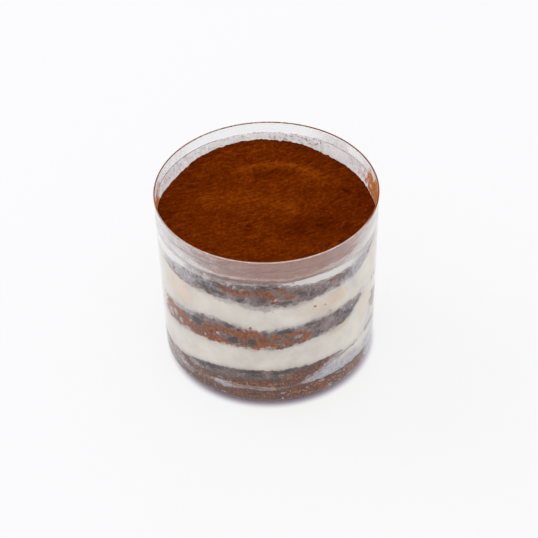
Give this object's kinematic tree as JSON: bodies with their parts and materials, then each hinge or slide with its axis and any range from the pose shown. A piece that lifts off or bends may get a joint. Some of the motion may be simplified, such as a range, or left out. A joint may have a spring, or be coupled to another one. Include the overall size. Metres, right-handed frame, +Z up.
{
  "type": "tiramisu in a clear cup",
  "caption": "Layered tiramisu in a straight-sided clear plastic cup: soaked sponge and cream in turn under a dusting of cocoa.",
  "frame": {"origin": "middle of the ring that the cup stands on, at the surface it stands on", "axes": "+Z up along the cup's axis; -Y is the front, which faces the viewer; +X is to the right"},
  "size_m": [0.086, 0.086, 0.0753],
  "materials": {
    "clear_plastic": "clear moulded plastic, glossy",
    "soaked_sponge": "coffee-soaked sponge, open crumb, damp",
    "mascarpone_cream": "whipped mascarpone cream, soft satin",
    "cocoa_powder": "dry cocoa powder, dead matt"
  },
  "bodies": {
    "root": {"cup": "clear_plastic", "sponge_1": "soaked_sponge", "cream_1": "mascarpone_cream", "sponge_2": "soaked_sponge", "cream_2": "mascarpone_cream", "sponge_3": "soaked_sponge", "cream_3": "mascarpone_cream", "sponge_4": "soaked_sponge", "cream_4": "mascarpone_cream", "cocoa": "cocoa_powder"}
  },
  "joints": []
}
